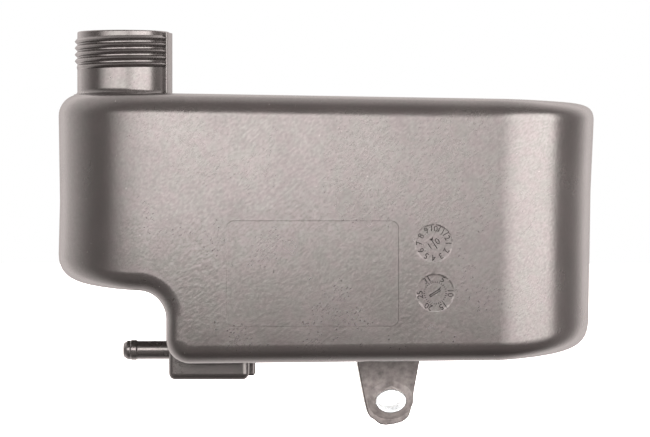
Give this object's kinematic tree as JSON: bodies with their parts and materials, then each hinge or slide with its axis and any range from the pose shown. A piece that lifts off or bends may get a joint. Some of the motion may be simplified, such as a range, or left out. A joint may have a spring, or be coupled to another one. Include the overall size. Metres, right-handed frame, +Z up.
{
  "type": "hydraulic reservoir",
  "caption": "Flat-sided blow-moulded fluid tank with a threaded filler neck, lift-out strainer, side hose nipple, lower sump foot and a sleeved fixing lug.",
  "frame": {"origin": "centre of the whole part's bounding box, on the tank's parting plane", "axes": "+X along the tank, from the filler neck towards the lug end; +Y through the tank's thickness, out of the face with no marks; +Z up, out of the filler neck"},
  "size_m": [0.2448, 0.092, 0.179],
  "materials": {
    "tank_plastic": "satin black, fine moulded grain",
    "nipple_plastic": "gloss black",
    "sleeve_metal": "bright plated",
    "strainer_plastic": "natural, satin",
    "strainer_gauze": "woven"
  },
  "bodies": {
    "tank": {"tank_shell": "tank_plastic", "outlet_nipple": "nipple_plastic", "lug_sleeve": "sleeve_metal"},
    "strainer": {"strainer_frame": "strainer_plastic", "strainer_mesh": "strainer_gauze"}
  },
  "joints": [
    {"name": "strainer_lift", "type": "slide", "parent": "tank", "child": "strainer", "axis": [0, 0, 1], "range_m": [0, 0.06]}
  ]
}
